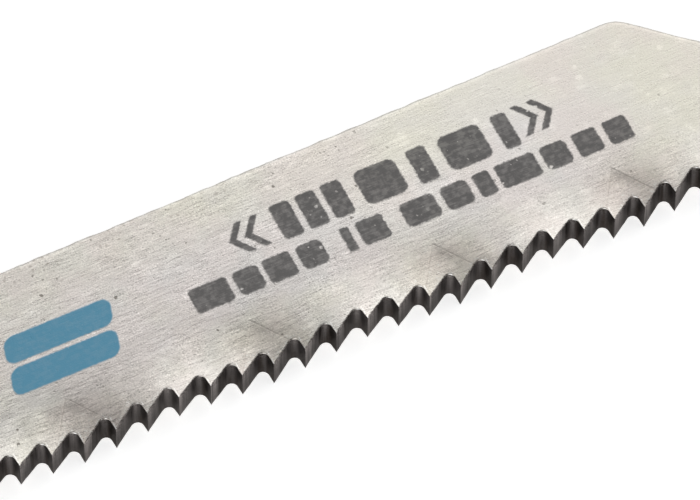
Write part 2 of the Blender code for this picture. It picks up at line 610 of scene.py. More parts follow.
    def shares(self, set_rows: int, plain_rows: int) -> list[float]:
        """Space the rows from the teeth to the back, closer together in the set zone and by the rim.

        Args:
            set_rows: how many rows of faces the set zone has.
            plain_rows: how many lie past it.

        Returns:
            Each row's share of the way.
        """
        set_share = self.sizes.set_depth / self.sizes.width
        close = [set_share * row / set_rows for row in range(set_rows)]
        steps = plain_rows - 1
        wide = [set_share + (1.0 - set_share) * row / steps for row in range(steps)]
        return close + wide + [self.by_rim, 1.0]

    def mesh(self) -> bpy.types.Mesh:
        """Make the guide of loose points, stations first, with its attributes.

        Returns:
            The guide's mesh.
        """
        self.plan_shank()
        self.plan_shoulder()
        self.plan_nose()
        stations = self.before + self.after
        ring = self.ring()
        mesh = bpy.data.meshes.new("strip_guide")
        places = [(station.x, 0.0, 0.0) for station in stations]
        mesh.from_pydata(places + [(0.0, 0.0, 0.0)] * len(ring), [], [])
        for name in Guide:
            rows = [getattr(point, name.value, 0.0) for point in stations + ring]
            mesh.attributes.new(name.value, "FLOAT", "POINT").data.foreach_set("value", rows)
        return mesh


@dataclass
class StripTree:
    """The Geometry Nodes tree that sweeps the loop along the strip and mills its teeth by rule."""

    sizes: StripSizes
    guide: StripGuide
    edge: EdgeRules = EdgeRules()
    finishes: tuple[str, ...] = ("Face", "Edge", "Milled")
    size_names: tuple[str, ...] = (
        "pitch", "gullet_x", "gullet_y", "gullet_radius", "flank", "rake_lean", "teeth", "first_tip",
        "length", "width", "half_thickness", "edge_break", "tooth_edge_break",
        "back_corner", "back_corner_radius", "tip_angle",
        "set_amplitude", "set_depth", "set_bend", "set_wavelength", "set_low", "set_fade",
    )
    w: Any = None
    sockets: Any = None
    given: Any = None

    def inputs(self, origin: Vector) -> dict[str, Any]:
        """Return the tree's inputs.

        Args:
            origin: where the end of the shank lies on the tooth line, in the frame.

        Returns:
            The value of each input by its name with underscores.
        """
        values = {name: getattr(self.sizes, name) for name in self.size_names}
        return {"origin": tuple(origin), **values, **asdict(self.edge), **self.guide.counts()}

    def build(self, origin: Vector) -> bpy.types.NodeTree:
        """Build the tree.

        Args:
            origin: where the end of the shank lies on the tooth line, in the frame.

        Returns:
            The tree, with a named input for each size and finish.
        """
        tree = bpy.data.node_groups.new("toothed_strip", "GeometryNodeTree")
        inputs = self.inputs(origin)
        kinds = {float: "Float", int: "Int", tuple: "Vector"}
        plan = {"Guide": "Geometry"}
        plan.update((title(name), kinds[type(value)]) for name, value in inputs.items())
        plan.update(dict.fromkeys(self.finishes, "Material"))
        for label, kind in plan.items():
            tree.interface.new_socket(label, in_out="INPUT", socket_type=f"NodeSocket{kind}")
        tree.interface.new_socket("Strip", in_out="OUTPUT", socket_type="NodeSocketGeometry")
        self.w = Wiring(tree)
        self.sockets = self.w.add("NodeGroupInput").outputs
        self.given = SimpleNamespace(
            **{name: Value(self.w, self.sockets[title(name)]) for name in inputs}
        )
        self.w.add("NodeGroupOutput", {}, {0: self.dressed(self.swept())})
        return tree

    def swept(self) -> Value:
        """Lay a grid of stations by loop points, place its points and keep what the finishes need.

        Returns:
            The open strip.
        """
        w, g = self.w, self.given
        index = w.value("GeometryNodeInputIndex")
        columns = g.flank_columns + g.round_columns + g.rake_columns
        toothed = columns * g.teeth
        plain = g.stations_before + g.stations_after
        around = g.ring_points + 1.0
        grid = w.value("GeometryNodeMeshGrid", {}, {"Vertices X": plain + toothed, "Vertices Y": around})

        station = ((index + HALF) / around).math("FLOOR")
        on_ring = index - station * around
        on_ring = on_ring * (on_ring < around - 1.0 - HALF)
        since = station - g.stations_before
        started = since > -HALF
        in_teeth = started * (since < toothed - HALF)
        row = station - (since > toothed - HALF) * toothed
        on_loop = on_ring + plain
        share, inset, drop_share, across = (
            self.sampled(name, on_loop) for name in (Guide.SHARE, Guide.INSET, Guide.DROP, Guide.ACROSS)
        )
        position = w.value("GeometryNodeInputPosition")
        settings = {"data_type": "FLOAT_VECTOR", "domain": "POINT"}
        feeds = {"Geometry": self.sockets["Guide"], "Value": position, "Index": row}
        plain_x = w.parts(w.value("GeometryNodeSampleIndex", settings, feeds))[0]

        def chosen(name: Guide, in_tooth: Feed) -> Value:
            """Return the guide's value beside the teeth and the given one within them."""
            return w.blend(self.sampled(name, row), in_tooth, in_teeth)

        tooth = ((since + HALF) / columns).math("FLOOR")
        column = since - tooth * columns
        tooth_x, tooth_low, in_x, in_y, on_rake = self.tooth_profile(column)
        tooth_x = tooth_x + g.first_tip + tooth * g.pitch
        tooth_high, tooth_rim = self.back_line(tooth_x)
        x = w.blend(plain_x, tooth_x, in_teeth)
        low = chosen(Guide.LOW, tooth_low)
        high = chosen(Guide.HIGH, tooth_high)
        foot = low + chosen(Guide.LOW_RIM, g.tooth_edge_break * in_y) * inset
        head = high - chosen(Guide.HIGH_RIM, tooth_rim) * inset
        y = w.blend(foot, head, share)
        above = self.above_rim(on_rake, y, low)
        faded = in_x * (-above / g.rim_reach).math("EXPONENT")
        x = x + chosen(Guide.LEAN, g.tooth_edge_break * faded) * inset
        flat = self.sampled(Guide.FLAT, row) * (1.0 - in_teeth)
        drop = w.blend(chosen(Guide.LOW_DROP, g.tooth_edge_break), g.edge_break, share)
        z = across * (g.half_thickness - drop * drop_share.at_least(flat))

        from_low = y - low
        x, y = self.rippled(x, y, z, above, started * w.blend(1.0, g.rake_ripple, on_rake))
        y = self.worn_back(x, y, high)
        z = z + self.set_wave(x, y)
        lift, depth_in = self.press_marks(x, y, across)
        place = (value + start for value, start in zip((x, y, z + lift), w.parts(g.origin)))
        kept = {
            Surface.FROM_TEETH: from_low / MM,
            Surface.FROM_BACK: (high - y) / MM,
            Surface.IN_PRESS_MARK: depth_in / MM,
            Surface.ALONG_TOOTH: w.blend(g.beyond_teeth, column / columns, in_teeth),
            Surface.OVER_RIM: 1.0 - inset,
            Surface.ACROSS_STRIP: across,
        }
        strip = grid
        for name, value in kept.items():
            strip = self.keep(strip, name, value, "POINT")
        return w.value("GeometryNodeSetPosition", {}, {"Geometry": strip, "Position": w.vector(*place)})

    def sampled(self, name: Guide, at: Value) -> Value:
        """Look up a guide attribute.

        Args:
            name: the attribute.
            at: number of the guide's point.

        Returns:
            The attribute's value there.
        """
        value = self.w.value("GeometryNodeInputNamedAttribute", {"data_type": "FLOAT"}, {"Name": name.value})
        feeds = {"Geometry": self.sockets["Guide"], "Value": value, "Index": at}
        return self.w.value("GeometryNodeSampleIndex", {"data_type": "FLOAT", "domain": "POINT"}, feeds)

    def keep(self, strip: Value, name: Surface, value: Value, domain: str) -> Value:
        """Store a value on the strip for later.

        Args:
            strip: the strip so far.
            name: what the value is kept as.
            value: the value.
            domain: whether the points or the faces keep it.

        Returns:
            The strip that holds it.
        """
        settings = {"data_type": "FLOAT", "domain": domain}
        feeds = {"Geometry": strip, "Name": name.value, "Value": value}
        return self.w.value("GeometryNodeStoreNamedAttribute", settings, feeds)

    def tooth_profile(self, column: Value) -> tuple[Value, ...]:
        """Follow one tooth's outline, a flank, a round and a rake, from the tip before it.

        Args:
            column: which point of the outline.

        Returns:
            x and y of the point, x and y of the way into the steel that keeps a rim's width even,
            and 1 on the rake and the tip.
        """
        w, g = self.w, self.given
        past_flank = column - g.flank_columns
        flank_share = column.math("DIVIDE", g.flank_columns, clamp=True)
        round_share = past_flank.math("DIVIDE", g.round_columns, clamp=True)
        rake_share = (past_flank - g.round_columns).math("DIVIDE", g.rake_columns, clamp=True)
        angle = w.blend(g.flank + math.pi / 2, g.rake_lean, round_share)
        in_x, in_y = angle.math("COSINE"), angle.math("SINE")
        x = w.blend((g.gullet_x + g.gullet_radius * in_x) * flank_share, g.pitch, rake_share)
        y = w.blend((g.gullet_y + g.gullet_radius * in_y) * flank_share, 0.0, rake_share)
        at_tip = column < HALF
        in_x = in_x.at_most(0.0) + in_x.at_least(0.0) * (in_y * in_y)
        in_y = in_y * (in_y.at_least(0.0) ** g.crown_power * g.crown_wear + 1.0)
        on_rake = at_tip.at_least(rake_share > 0.0)
        return x, y, w.blend(in_x, 0.0, on_rake), w.blend(in_y, g.tip_inset, at_tip), on_rake

    def above_rim(self, on_rake: Value, y: Value, low: Value) -> Value:
        """Return the height above a tooth's rim, the same for a whole rake, so that no face folds over.

        Args:
            on_rake: 1 on the rake and the tip.
            y: height of the point over the tooth tips.
            low: height of the rim below it.

        Returns:
            The height in metres.
        """
        g = self.given
        rake_top = g.gullet_y + g.gullet_radius * g.rake_lean.math("SINE")
        return (y - low.at_least(rake_top * on_rake)).at_least(0.0)

    def back_line(self, x: Value) -> tuple[Value, Value]:
        """Follow the straight back, its round corner and the slanted tip.

        Args:
            x: how far from the end of the shank.

        Returns:
            The height of the back there, and the height of its broken edge.
        """
        g = self.given
        radius = g.back_corner_radius
        round_start = g.back_corner - radius * (g.tip_angle * HALF).math("TANGENT")
        round_reach = radius * g.tip_angle.math("SINE")
        along = x - round_start
        ratio = along.at_least(0.0).at_most(round_reach) / radius
        level = (1.0 - ratio * ratio).math("SQRT")
        fall = radius * (1.0 - level)
        slope = (along - round_reach).at_least(0.0) * g.tip_angle.math("TANGENT")
        return g.width - fall - slope, g.edge_break / level

    def rippled(self, x: Value, y: Value, z: Value, above: Value, strength: Value) -> tuple[Value, Value]:
        """Add the small ripples that milling leaves along the tooth edges.

        Args:
            x: how far from the end of the shank.
            y: height over the tooth tips.
            z: height over the strip's middle plane.
            above: height above the tooth's rim.
            strength: how strong the ripples are, as a share.

        Returns:
            The new x and y.
        """
        w, g = self.w, self.given
        near = (-above / g.ripple_reach).math("EXPONENT")
        spot = w.vector(x / MM, y / MM, z / g.ripple_flow + g.seed)
        shift_x, shift_y, _ = w.parts(w.noise(spot, g.ripple_scale, output=1))
        clear = (g.length - x).rise(0.0, g.nose_clear)
        size = near * g.rim_ripple * (strength * clear * 2.0)
        return x + shift_x.swing(size), y + shift_y.swing(size)

    def faded(self, x: Value) -> Value:
        """Return a share that fades to nothing at both ends of the toothed length."""
        g = self.given
        return (x - g.first_tip).rise(0.0, g.set_fade) * (g.length - x).rise(0.0, g.set_fade)

    def worn_back(self, x: Value, y: Value, high: Value) -> Value:
        """Return y with the shallow dents that wear leaves along the back of the toothed length.

        Args:
            x: how far from the end of the shank.
            y: height over the tooth tips.
            high: height of the back there.

        Returns:
            The new y.
        """
        w, g = self.w, self.given
        near = ((y - high) / g.ripple_reach).math("EXPONENT")
        spot = w.vector(x / MM, 0.0, g.seed + g.dent_seed)
        dents = w.noise(spot, g.dent_scale, g.dent_detail, g.dent_rough)
        return y + near * dents.swing(g.back_ripple * self.faded(x))

    def set_wave(self, x: Value, y: Value) -> Value:
        """Bend the toothed edge to alternate sides.

        Args:
            x: how far from the end of the shank.
            y: height over the tooth tips.

        Returns:
            How far the wavy set moves the point across the strip.
        """
        g = self.given
        reach = (1.0 - y / g.set_depth).at_least(0.0).at_most(1.0)
        turns = (x - g.set_low) / g.set_wavelength
        wave = (turns * math.tau).math("COSINE")
        wave = wave * abs(wave) ** g.set_sharpness
        return -(reach ** g.set_bend * g.set_amplitude * wave * self.faded(x))

    def press_marks(self, x: Value, y: Value, across: Value) -> tuple[Value, Value]:
        """Sink the triangular marks that the setting tool leaves at each wave.

        Args:
            x: how far from the end of the shank.
            y: height over the tooth tips.
            across: from -1 on the underside to 1 on the printed side.

        Returns:
            How far the steel moves, and how deep inside a mark the point lies.
        """
        w, g = self.w, self.given
        side = across.math("SIGN")
        phase = (1.0 - side) * HALF * (g.set_wavelength * HALF)
        turns = (x - g.set_low + phase) / g.set_wavelength
        number = turns.math("ROUND")
        feeds = {"Vector": w.vector(number, g.seed + side, 0.0)}
        loose = w.value("ShaderNodeTexWhiteNoise", {"noise_dimensions": "2D"}, feeds) - MIDDLE
        along = (turns - number) * g.set_wavelength + loose * g.press_stray_along
        below = g.press_height + loose * g.press_stray_up - y
        steep = (g.press_slope * g.press_slope + 1.0).math("SQRT")
        inside = (below * g.press_slope - abs(along)) / steep
        zone = (x > g.first_tip + g.set_fade) * (x < g.length)
        sunk = 1.0 - (-inside.at_least(0.0) / g.press_run).math("EXPONENT")
        step = below.rise(0.0, g.press_step, 0.0, g.press_depth)
        eased = (below - g.press_step).at_least(0.0) * g.press_flat
        lift = sunk * (step - eased) * (-side * zone) * abs(across)
        return lift, inside * zone + (1.0 - zone) * -MM

    def finish_number(self) -> Value:
        """Tell each face's finish from its place in the grid, before any point is merged.

        Returns:
            0 on both sides, 1 on plain edges, 2 on the milled teeth.
        """
        g = self.given
        index = self.w.value("GeometryNodeInputIndex")
        station = ((index + HALF) / g.ring_points).math("FLOOR")
        row = index - station * g.ring_points
        front_end = g.front_rows + (g.rim_rows - 1.0)
        under_start = front_end + g.back_edge_rows
        under_end = under_start + (g.under_rows + (g.rim_rows - 1.0))
        walls_start = under_end + (g.tooth_rim_rows - 1.0)
        back_edge = (row > front_end - HALF) * (row < under_start - HALF)
        tooth_side = (row > walls_start - HALF) * (row < walls_start + g.wall_rows + 1.0 + HALF)
        milled = tooth_side * (station > g.stations_before - 1.0 - HALF)
        return back_edge + tooth_side + milled

    def dressed(self, strip: Value) -> Value:
        """Close the strip's seam and give its faces their finishes.

        Args:
            strip: the swept grid.

        Returns:
            The strip with a material on each face.
        """
        w = self.w
        strip = self.keep(strip, Surface.FINISH, self.finish_number(), "FACE")
        feeds = {"Geometry": strip, "Distance": self.given.weld_reach}
        strip = w.value("GeometryNodeMergeByDistance", {}, feeds)
        strip = w.value("GeometryNodeRealizeInstances", {}, {"Geometry": strip})
        feeds = {"Name": Surface.FINISH.value}
        number = w.value("GeometryNodeInputNamedAttribute", {"data_type": "FLOAT"}, feeds)
        for place, name in enumerate(self.finishes):
            feeds = {"Geometry": strip, "Selection": number > place - HALF, "Material": self.sockets[name]}
            strip = w.value("GeometryNodeSetMaterial", {}, feeds)
        return strip


class ShaderGroup:
    """A shader node group with named inputs and outputs."""

    def __init__(self, name: str, inputs: dict[str, Optional[float]], outputs: Sequence[str]) -> None:
        """Make the empty group.

        Args:
            name: the group's name.
            inputs: starting value of each input, by its name with underscores; None stands for a vector.
            outputs: names of the values that it puts out.
        """
        tree = bpy.data.node_groups.new(name, "ShaderNodeTree")
        for label, value in inputs.items():
            kind = "NodeSocketVector" if value is None else "NodeSocketFloat"
            socket = tree.interface.new_socket(title(label), in_out="INPUT", socket_type=kind)
            if value is not None:
                socket.default_value = value
        for label in outputs:
            tree.interface.new_socket(label, in_out="OUTPUT", socket_type="NodeSocketFloat")
        self.w = Wiring(tree)
        sockets = self.w.add("NodeGroupInput").outputs
        self.given = SimpleNamespace(**{label: Value(self.w, sockets[title(label)]) for label in inputs})

    def put(self, *values: Value) -> bpy.types.NodeTree:
        """Join the outputs in order and return the finished group."""
        self.w.add("NodeGroupOutput", {}, dict(enumerate(values)))
        return self.w.tree


class Effects:
    """The effects that several finishes share, each built once as a node group."""

    wander: float = 0.12
    wander_scale: float = 0.6
    streak_share: float = 0.3
    fine: float = 0.6
    ragged: float = 0.12
    ragged_scale: float = 9.0
    least_pit: float = 0.35
    cloud_rough: float = 0.55
    rich: float = 3.0

    def __init__(self) -> None:
        """Build every group."""
        self.brush = self.brush_group()
        self.pits = self.pits_group()
        self.clouds = self.clouds_group()
        self.block = self.block_group()

    def brush_group(self) -> bpy.types.NodeTree:
        """Lines that grinding leaves, long along X and narrow along Y, and a fine grain between them.

        Returns:
            The node group.
        """
        inputs = {"place": None, "run": 2.0, "fineness": 20.0, "grain": 17.0}
        group = ShaderGroup("grinding_lines", inputs, ("Lines", "Streaks", "Grains"))
        w, g = group.w, group.given
        x, y, z = w.parts(g.place)
        y = y + w.noise(g.place, self.wander_scale, 1.0).swing(self.wander)
        fine_spot = w.vector(x * g.run, y * g.fineness, z)
        coarse_spot = w.vector(x * (g.run * self.streak_share), y * (g.fineness * self.streak_share), z)
        lines = w.noise(fine_spot, 1.0, 2.0, self.fine)
        streaks = w.noise(coarse_spot, 1.0, self.rich, self.fine)
        return group.put(lines, streaks, w.noise(g.place, g.grain, 2.0, self.fine))

    def pits_group(self) -> bpy.types.NodeTree:
        """Small pits, each in its own cell, thinned out by chance.

        Returns:
            The node group.
        """
        inputs = {"place": None, "scale": 1.0, "size": 0.1, "share": 0.3}
        group = ShaderGroup("rust_pits", inputs, ("Mask",))
        w, g = group.w, group.given
        warp = w.noise(g.place, self.ragged_scale, output=1)
        offset = w.value("ShaderNodeVectorMath", {"operation": "SCALE"}, {0: warp, "Scale": self.ragged})
        moved = w.value("ShaderNodeVectorMath", {"operation": "ADD"}, {0: g.place, 1: offset})
        cells = w.add("ShaderNodeTexVoronoi", {}, {"Vector": moved, "Scale": g.scale}).outputs
        chance, size, _ = w.parts(cells["Color"])
        radius = g.size * (size + self.least_pit)
        spot = Value(w, cells["Distance"]).rise(radius * HALF, radius, 1.0, 0.0)
        return group.put(spot * (chance < g.share))

    def clouds_group(self) -> bpy.types.NodeTree:
        """Soft patches of handling and oil.

        Returns:
            The node group.
        """
        inputs = {"place": None, "scale": 0.4, "low": 0.4, "high": 0.6}
        group = ShaderGroup("soft_patches", inputs, ("Mask",))
        g = group.given
        return group.put(group.w.noise(g.place, g.scale, self.rich, self.cloud_rough).rise(g.low, g.high))

    def block_group(self) -> bpy.types.NodeTree:
        """Distance to the edge of one slanted block with rounded corners, less than zero inside.

        Returns:
            The node group.
        """
        inputs = {"place": None, "x": 0.0, "y": 0.0, "half_width": 1.0, "half_height": 1.0}
        inputs.update(corner=0.1, slant=0.0)
        group = ShaderGroup("printed_block", inputs, ("Distance",))
        w, g = group.w, group.given
        x, y, _ = w.parts(g.place)
        up = y - g.y
        over_x = abs(x - g.x - up * g.slant) - g.half_width + g.corner
        over_y = abs(up) - g.half_height + g.corner
        out_x, out_y = over_x.at_least(0.0), over_y.at_least(0.0)
        outside = (out_x * out_x + out_y * out_y).math("SQRT")
        inside = over_x.at_least(over_y).at_most(0.0)
        return group.put(outside + inside - g.corner)


@dataclass(frozen=True)
class Block:
    """One plain block of print, in tooth pitches from the print's own corner."""

    left: float
    right: float
    low: float
    high: float
    corner: float = 0.12
    slant: float = 0.0

    def inputs(self) -> dict[str, float]:
        """List what the block's node group is given.

        Returns:
            Each value by its input.
        """
        return {
            "X": (self.left + self.right) / 2,
            "Y": (self.low + self.high) / 2,
            "Half Width": (self.right - self.left) / 2,
            "Half Height": (self.high - self.low) / 2,
            "Corner": self.corner,
            "Slant": self.slant,
        }


@dataclass(frozen=True)
class BlockRow:
    """A row of upright blocks of one height: left and right of each, and its corner if it isn't plain."""

    low: float
    high: float
    spans: tuple[tuple[float, ...], ...]

    def blocks(self) -> list[Block]:
        """Return the row's blocks."""
        return [Block(*span[:2], self.low, self.high, *span[2:]) for span in self.spans]


@dataclass(frozen=True)
class Chevrons:
    """A pair of chevrons: left of each, how far they are raised, and the way they point."""

    lefts: tuple[float, float]
    lift: float
    way: float
    arm: float = 0.23
    corner: float = 0.04
    slant: float = 0.72
    upper: tuple[float, float] = (4.24, 4.83)
    lower: tuple[float, float] = (3.73, 4.3)

    def blocks(self) -> list[Block]:
        """Lay out the chevrons' arms.

        Returns:
            Two blocks for each chevron.
        """
        arms = ((self.upper, self.way * self.slant), (self.lower, -self.way * self.slant))
        return [
            Block(left, left + self.arm, low + self.lift, high + self.lift, self.corner, slant)
            for left in self.lefts
            for (low, high), slant in arms
        ]


@dataclass(frozen=True)
class PrintLayout:
    """The print, kept to plain blocks: an upper row between chevrons, a lower row, two blue bars."""

    turn: float = math.radians(0.6)
    pitch: float = 1.2 * MM
    left: float = 14.1 * MM
    upper: BlockRow = BlockRow(
        3.65,
        4.9,
        (
            (10.1, 10.72),
            (10.92, 11.54),
            (11.74, 12.36),
            (12.78, 14.1, 0.25),
            (14.5, 15.1),
            (15.5, 16.85, 0.25),
            (17.25, 17.75),
        ),
    )
    lower: BlockRow = BlockRow(
        2.45,
        3.3,
        (
            (6.75, 7.95),
            (8.15, 8.95, 0.18),
            (9.1, 9.98),
            (10.17, 10.97, 0.18),
            (11.6, 11.88, 0.05),
            (12.1, 12.95),
            (13.5, 14.6, 0.18),
            (14.82, 15.67, 0.18),
            (15.88, 16.4),
            (16.6, 17.85),
            (18.05, 18.87, 0.18),
            (19.1, 19.87),
            (20.1, 20.85),
        ),
    )
    opening: Chevrons = Chevrons((8.77, 9.27), 0.0, 1.0)
    closing: Chevrons = Chevrons((18.17, 18.67), 0.1, -1.0)
    bars: tuple[Block, ...] = (
        Block(0.95, 4.3, 2.2, 3.08, 0.3, 0.27),
        Block(1.2, 4.55, 3.24, 4.12, 0.3, 0.27),
    )

    def dark(self) -> list[Block]:
        """Return every dark block."""
        rows = (self.upper, self.opening, self.closing, self.lower)
        return [block for row in rows for block in row.blocks()]

    def spot(self, w: Wiring, place: Feed, tooth_line: float) -> Value:
        """Return the place on the print in tooth pitches.

        Args:
            w: the material's wiring.
            place: the place in the frame.
            tooth_line: y of the tooth tips in the frame.

        Returns:
            The place from the print's own corner.
        """
        moved = w.mapped(place, Location=(-self.left, -tooth_line, 0.0))
        scale = 1.0 / self.pitch
        return w.mapped(moved, Rotation=(0.0, 0.0, self.turn), Scale=(scale, scale, scale))

    @staticmethod
    def distance(w: Wiring, group: bpy.types.NodeTree, spot: Value, blocks: Sequence[Block]) -> Value:
        """Measure the distance to the nearest of the blocks, less than zero inside.

        Args:
            w: the material's wiring.
            group: the node group of one block.
            spot: the place from the print's own corner.
            blocks: the blocks.

        Returns:
            The distance in tooth pitches.
        """
        settings = {"node_tree": group}
        plans = [{"Place": spot, **block.inputs()} for block in blocks]
        distances = [w.value("ShaderNodeGroup", settings, feeds) for feeds in plans]
        return reduce(Value.at_most, distances)


class Finish:
    """What every finish shares: a material with a Principled shader and places in millimetres."""

    def __init__(self, name: str, effects: Effects) -> None:
        """Make the material.

        Args:
            name: the material's name.
            effects: the shared effects.
        """
        self.material = bpy.data.materials.new(name)
        self.material.use_nodes = True
        self.effects = effects
        self.w = Wiring(self.material.node_tree)
        self.shader = self.material.node_tree.nodes["Principled BSDF"]
        self.place = self.w.add("ShaderNodeTexCoord").outputs["Object"]
        scale = 1.0 / MM
        self.spot = self.w.mapped(self.place, Scale=(scale, scale, scale))

    def effect(self, group: bpy.types.NodeTree, **values: Feed) -> list[Value]:
        """Place a shared effect.

        Args:
            group: the effect's node group.
            values: what goes into its inputs, by their names with underscores.

        Returns:
            What the effect puts out.
        """
        values.setdefault("place", self.spot)
        feeds = {title(name): value for name, value in values.items()}
        outputs = self.w.add("ShaderNodeGroup", {"node_tree": group}, feeds).outputs
        return [Value(self.w, output) for output in outputs]

    def pits(self, rule: PitRule, **values: Feed) -> Value:
        """Return where pits lie by a rule."""
        return self.effect(self.effects.pits, **asdict(rule), **values)[0]

    def clouds(self, rule: CloudRule, **values: Feed) -> Value:
        """Return where soft patches lie by a rule."""
        return self.effect(self.effects.clouds, **asdict(rule), **values)[0]

    def noise(self, rule: NoiseRule) -> Value:
        """Return a noise by a rule."""
        value = self.w.noise(self.spot, rule.scale, rule.detail, rule.rough)
        return value if rule.span is None else value.eased(rule.span)

    def stretched(self, turn: float, scale: Sequence[float]) -> Value:
        """Return places turned about Z, in radians, and then scaled on each axis."""
        return self.w.mapped(self.w.mapped(self.spot, Rotation=(0.0, 0.0, turn)), Scale=scale)

    def kept(self, name: Surface) -> Value:
        """Return one of the strip's own attributes."""
        node = self.w.add("ShaderNodeAttribute", {"attribute_name": name.value})
        return Value(self.w, node.outputs["Fac"])

    def bump(self, height: Value, depth: float) -> None:
        """Shape the surface by a height, given as a share of a depth in metres."""
        feeds = {"Strength": 1.0, "Distance": depth, "Height": height}
        self.w.feed(self.shader.inputs["Normal"], self.w.value("ShaderNodeBump", {}, feeds))

    def set(self, **values: Any) -> None:
        """Feed the shader's inputs; underscores in names stand for spaces."""
        for label, value in values.items():
            self.w.feed(self.shader.inputs[label.replace("_", " ")], value)


@dataclass(frozen=True)
class FaceColours:
    """Colours of the ground face, its print, and its painted shade and highlights, as linear light."""

    steel: Colour = (0.6, 0.577, 0.562, 1.0)
    cream: Colour = (0.625, 0.605, 0.535, 1.0)
    rose: Colour = (0.625, 0.56, 0.54, 1.0)
    pit: Colour = (0.2, 0.18, 0.16, 1.0)
    # Dark brown: grime and dull stretches by the back, and painted shade in the press marks' creases and
    # upper parts.
    soot: Colour = (0.3, 0.265, 0.235, 1.0)
    rim: Colour = (0.58, 0.575, 0.55, 1.0)
    ink: Colour = (0.105, 0.1, 0.098, 1.0)
    blue: Colour = (0.085, 0.27, 0.4, 1.0)
    # Bright flecks, and painted highlights on the burrs by the teeth.
    fleck: Colour = (0.85, 0.84, 0.8, 1.0)
    # Near white, for the painted highlights on the burrs past the crowns and by the tips.
    burr: Colour = (0.95, 0.94, 0.92, 1.0)
    rim_shade: Colour = (0.07, 0.06, 0.055, 1.0)
    blush: Colour = (1.0, 0.93, 0.9, 1.0)


@dataclass(frozen=True)
class SteelLook:
    """How the bare steel's colour and tone change with place, in millimetres, and with its grain, and where
    painted light brightens or darkens it.
    """

    cream_high: Span = Span(3.8, 6.6, 0.0, 0.8)
    cream_low: Span = Span(1.6, 2.8, 0.6, 0.0)
    cream_nose: Span = Span(34.0, 40.0, 0.0, 0.8)
    cream_shank: Span = Span(17.0, 24.0, 0.5, 0.0)
    drift_rule: CloudRule = CloudRule(0.28)
    drift: float = 0.5
    rose_turn: float = 2.0
    rose_stretch: tuple[float, ...] = (0.8, 1.0, 1.0)
    rose_rule: CloudRule = CloudRule(0.35)
    rose: float = 0.45
    lines: float = 1.0
    streaks: float = 0.25
    grains: float = 0.9
    dark_grains: Span = Span(0.3, 0.38, 0.2, 0.0)
    bright_grains: Span = Span(0.62, 0.7, 0.0, 0.15)
    calm_x: Span = Span(26.0, 38.0)
    calm_up: Span = Span(2.5, 5.0, 0.5, 1.0)
    calm_tone: float = 0.35
    calm_marks: float = 0.25
    patchy_rule: CloudRule = CloudRule(0.9, 0.35, 0.65)
    patchy: float = 0.6
    least_patchy: float = 0.7
    rubbed_rule: CloudRule = CloudRule(1.3, 0.56, 0.7)
    rubbed: float = 0.1
    dings_rule: PitRule = PitRule(1.2, 0.15, 0.5)
    dings: float = 0.14
    # Painted light: the face darker towards the shank, brighter high up, more so away from the nose, and a
    # little brighter just by the teeth.
    along: Span = Span(8.0, 42.0, 0.945, 1.025)
    upper: Span = Span(2.2, 3.6)
    upper_glow: Span = Span(34.0, 41.0, 1.1, 1.04)
    foot_glow: Span = Span(1.3, 0.7, 1.0, 1.07)
    pits_rule: PitRule = PitRule(1.6, 0.11, 0.55)
    pits: float = 0.85
    specks_rule: PitRule = PitRule(4.5, 0.2, 0.4)
    specks: float = 0.6
    specks_cloud: CloudRule = CloudRule(0.5, 0.42, 0.6)
    least_specks: float = 0.3
    specks_up: Span = Span(4.5, 7.0, 0.5, 1.0)


@dataclass(frozen=True)
class WearLook:
    """How pressing, sawing and handling mark the steel, and where shade and highlights are painted on it, in
    millimetres and shares.
    """

    crease_in: float = 0.02
    crease: Span = Span(0.0, 0.075, 1.0, 0.0)
    # Painted shade: the press marks' creases, patchily, and their upper parts are darkened.
    crease_soot: NoiseRule = NoiseRule(1.5, 2.0, 0.5, Span(0.35, 0.65, 0.12, 0.32))
    in_mark: Span = Span(0.0, 0.12)
    mark_up: Span = Span(1.1, 1.5)
    mark_soot: float = 0.14
    beside_mark: Span = Span(-1.2, -0.1)
    beside_up: Span = Span(1.9, 1.3)
    beside_blush: float = 0.35
    near_teeth: Span = Span(0.0, 1.1, 1.0, 0.0)
    by_teeth: Span = Span(0.05, 0.25, 1.0, 0.0)
    fleck_turn: float = 0.6
    fleck_stretch: tuple[float, ...] = (1.0, 1.6, 1.0)
    flecks_rule: PitRule = PitRule(4.0, 0.24, 0.45)
    flecks_far: float = 0.25
    flecks_near: float = 0.65
    # Painted highlights: glints on the burrs close to the tooth rims.
    burrs_rule: NoiseRule = NoiseRule(12.0, 2.0, 0.6, Span(0.52, 0.6))
    burrs: float = 0.6
    nicks_rule: PitRule = PitRule(3.0, 0.16, 0.4)
    nicks: float = 0.5
    back_rim: Span = Span(0.1, 0.2, 1.0, 0.0)
    pale_rim: float = 0.35
    dull_rim: Span = Span(0.04, 0.35, 1.0, 0.0)
    dull_rule: NoiseRule = NoiseRule(3.0, 3.0, 0.65, Span(0.42, 0.6))
    dull_x: Span = Span(38.0, 22.0, 0.3, 1.0)
    dull: float = 0.5
    grime_rule: PitRule = PitRule(5.5, 0.32, 0.8)
    grime_cloud: CloudRule = CloudRule(0.8, 0.36, 0.52)
    grime_reach: Span = Span(0.3, 1.3, 1.0, 0.0)
    grime_x: Span = Span(31.0, 23.0)
    grime: float = 0.6
    tooth_height: float = 2.0
    flank: Span = Span(0.45, 0.6, 1.0, 0.1)
    shade: Span = Span(0.0, 0.3)
    shade_grains: Span = Span(0.35, 0.6, 1.0, 0.55)
    crown: Span = Span(0.0, 0.2)
    past_crown: Span = Span(0.5, 0.6)
    at_tip: Span = Span(0.004, 0.02, 1.0, 0.0)
    rake_up: Span = Span(0.6, 0.45)
    # Painted highlights on the burrs past the crowns and by the tips, patchy by a noise.
    rim_burrs_rule: NoiseRule = NoiseRule(7.0, 2.0, 0.6, Span(0.4, 0.55))
    rim_burrs: float = 0.85


